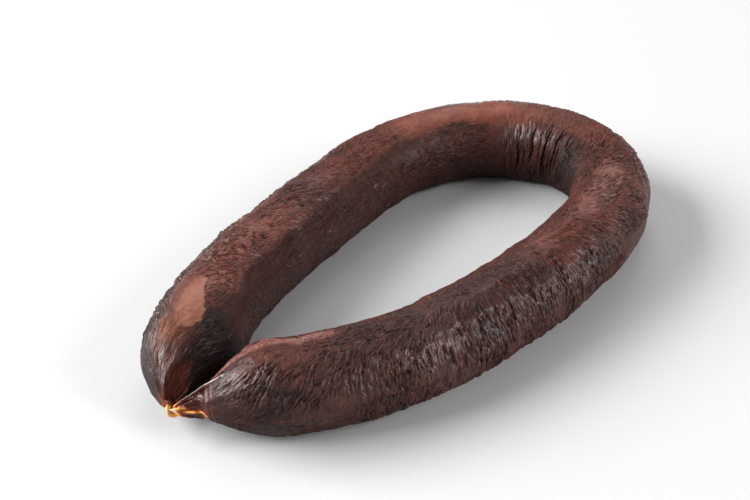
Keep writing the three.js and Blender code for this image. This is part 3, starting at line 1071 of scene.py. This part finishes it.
def buildTail(offset):
    # a flattened tube along a smooth line through the named points, its section
    # turning with the length and its radius rippled
    c = casingTail
    knots = np.array(c["path"], float)
    steps = np.concatenate([[0], np.cumsum(np.linalg.norm(np.diff(knots, axis=0), axis=1))])
    t = np.linspace(0, 1, c["rows"])
    # the straight line between the points, averaged with a sine window over each step
    fine = np.linspace(0, steps[-1], 400)
    raw = np.stack([np.interp(fine, steps, knots[:, k]) for k in range(3)], 1)
    half = c["softening"] // 2
    kernel = np.hanning(c["softening"])
    kernel = kernel / kernel.sum()
    before, after = 2 * raw[0] - raw[half:0:-1], 2 * raw[-1] - raw[-2 : -2 - half : -1]
    padded = np.vstack([before, raw, after])
    soft = np.stack([np.convolve(padded[:, k], kernel, "valid") for k in range(3)], 1)
    line = np.stack([np.interp(t * steps[-1], fine, soft[:, k]) for k in range(3)], 1)
    place, along, outward = tailAxes()
    centre = place + line[:, :1] * along + line[:, 1:2] * outward + line[:, 2:] * up
    tangent = np.gradient(centre, axis=0)
    tangent = tangent / np.linalg.norm(tangent, axis=1, keepdims=True)
    side = np.cross(tangent, along + 0.2 * up)
    side = side / np.linalg.norm(side, axis=1, keepdims=True)
    other = np.cross(tangent, side)
    a = np.linspace(0, 360, c["columns"] + 1)
    angle, run = np.radians(a[:-1])[None], t[:, None]
    turn = np.radians(c["twist"]) * run
    radius = np.interp(t * steps[-1], steps, c["radius"])
    radius = (radius * roundedEnd((t - (1 - c["closing"])) / c["closing"]))[:, None]
    ripple = 1 + 0.32 * noise(run * 9, angle * 1.3, 81) + 0.08 * np.cos(3 * angle + 9 * run)
    flat = blend(1, c["flatness"], smooth(run, *c["flatOver"]))
    x, y = radius * ripple * np.cos(angle), radius * ripple * flat * np.sin(angle)
    x, y = x * np.cos(turn) - y * np.sin(turn), x * np.sin(turn) + y * np.cos(turn)
    points = centre[:, None] + side[:, None] * x[..., None] + other[:, None] * y[..., None]
    points[..., 2] = np.maximum(points[..., 2], c["floorGap"])
    piece = gridMesh("casingTail", points + offset, t, a / 360)
    crease = smooth(noise(run * 14, angle * 1.6, 82), 0.1, 0.6)
    paint(piece, "casingTone", crease, smooth(run, 0.05, 0.35), 0)
    return piece


casingColours = {
    "dark": (0.040, 0.0045, 0.003), "orange": (0.30, 0.055, 0.010), "straw": (0.86, 0.40, 0.10),
    "crease": (0.045, 0.008, 0.003), "edge": (0.36, 0.33, 0.33),
}
casingFinish = {
    "fibre": 900, "blotch": 330,  # how many to a metre
    "roughness": 0.28, "specular": 0.22, "subsurface": 0.25,
    "glowColour": (1.0, 0.45, 0.15), "glowDepth": 1.2,
}


def casingMaterial():
    # dry casing: darker in the cone's pleat hollows as painted shade and along the tail's random
    # creases, orange and straw where light comes through and, on the cone, as painted highlights on
    # the pleats' crests and at the tip, and grey along the fin's edge as a painted highlight
    look, paints, amounts = Shader("dryCasing"), casingColours, casingFinish
    crease, bright, edge = look.attribute("casingTone")
    coordinates = look.node("ShaderNodeTexCoord", {}, {}, 3)
    fibre, blotch = (
        look.node("ShaderNodeTexNoise", {}, {"Vector": coordinates, "Scale": scale, "Detail": 2.0})
        for scale in (amounts["fibre"], amounts["blotch"])
    )
    shine = bright + blotch * 0.6 - 0.3
    colour = look.mix(look.ramp(shine, 0.0, 0.45), paints["dark"], paints["orange"])
    colour = look.mix(look.ramp(shine, 0.40, 0.80), colour, paints["straw"])
    colour = look.mix(crease * 0.8, colour, paints["crease"])
    # painted highlight: grey along the fin's edge
    colour = look.mix(edge * 0.6, colour, paints["edge"])
    return look.surface({
        "Base Color": colour,
        "Roughness": amounts["roughness"],
        "Specular IOR Level": amounts["specular"],
        "Subsurface Weight": amounts["subsurface"],
        "Subsurface Radius": amounts["glowColour"],
        "Subsurface Scale": amounts["glowDepth"] * mm,
        "Normal": look.bump(0.6, 0.3, fibre),
    })


camera = {
    "target": (12.66, 31.50, 0.0), "azimuth": -52.0, "elevation": 34.0,
    "distance": 662.5, "focusPixels": 1374.0, "pictureWidth": 750, "sensor": 36.0,
    "clip": (0.01, 50),  # in metres
}


def backVector(azimuth, elevation):
    # from the target towards a viewer at that azimuth and elevation
    az, el = math.radians(azimuth), math.radians(elevation)
    return Vector((math.sin(az) * math.cos(el), -math.cos(az) * math.cos(el), math.sin(el)))


def buildCamera():
    # the lens is the focal length in pixels as a share of the picture's width
    target = Vector(camera["target"]) * mm
    back = backVector(camera["azimuth"], camera["elevation"])
    data = bpy.data.cameras.new("photoCamera")
    data.sensor_width = camera["sensor"]
    data.lens = camera["focusPixels"] / camera["pictureWidth"] * camera["sensor"]
    data.clip_start, data.clip_end = camera["clip"]
    holder = bpy.data.objects.new("photoCamera", data)
    holder.location = target + back * camera["distance"] * mm
    holder.rotation_euler = (-back).to_track_quat("-Z", "Y").to_euler()
    bpy.context.scene.collection.objects.link(holder)
    bpy.context.scene.camera = holder


# Lamps: bearing from the camera to its right, elevation, distance, width and height,
# and power in watts.
lamps = {
    "leftSoftbox": (-91, 32, 2750, (2700, 1400), 215),
    "backSoftbox": (172, 48, 3000, (1700, 2200), 30),
    "rightSoftbox": (72, 18, 3500, (1400, 3200), 150),
}
studio = {"world": 0.32, "floorSize": 8000, "floorTone": 0.47, "floorRoughness": 0.8}


def buildLamps():
    # each lamp faces the target
    target = Vector(camera["target"]) * mm
    for name, (bearing, elevation, distance, size, power) in lamps.items():
        data = bpy.data.lights.new(name, "AREA")
        data.shape = "RECTANGLE"
        data.size, data.size_y = (side * mm for side in size)
        data.energy = power
        holder = bpy.data.objects.new(name, data)
        back = backVector(camera["azimuth"] + bearing, elevation)
        holder.location = target + back * distance * mm
        holder.rotation_euler = back.to_track_quat("Z", "Y").to_euler()
        bpy.context.scene.collection.objects.link(holder)
    world = bpy.data.worlds.new("studio")
    world.use_nodes = True
    world.node_tree.nodes["Background"].inputs["Color"].default_value = (1, 1, 1, 1)
    world.node_tree.nodes["Background"].inputs["Strength"].default_value = studio["world"]
    bpy.context.scene.world = world


def buildFloor():
    # a pale square under the ring
    half = studio["floorSize"] / 2 * mm
    corners = [(-half, -half, 0), (half, -half, 0), (half, half, 0), (-half, half, 0)]
    mesh = bpy.data.meshes.new("floor")
    mesh.from_pydata(corners, [], [(0, 1, 2, 3)])
    floor = bpy.data.objects.new("floor", mesh)
    bpy.context.scene.collection.objects.link(floor)
    tone = studio["floorTone"]
    sockets = {"Base Color": (tone, tone, tone, 1), "Roughness": studio["floorRoughness"]}
    mesh.materials.append(Shader("paleFloor").surface(sockets))


buildCamera()
buildLamps()
buildFloor()
bpy.context.scene.view_settings.view_transform = "Standard"
print("camera, lamps and floor")
skinPieces, offset = buildSkin()
skinLook = skinMaterial()
for piece in skinPieces:
    finish(piece, skinLook)
casingLook = casingMaterial()
finish(buildCone(offset), casingLook)
finish(buildTail(offset), casingLook)
print("casing ends")
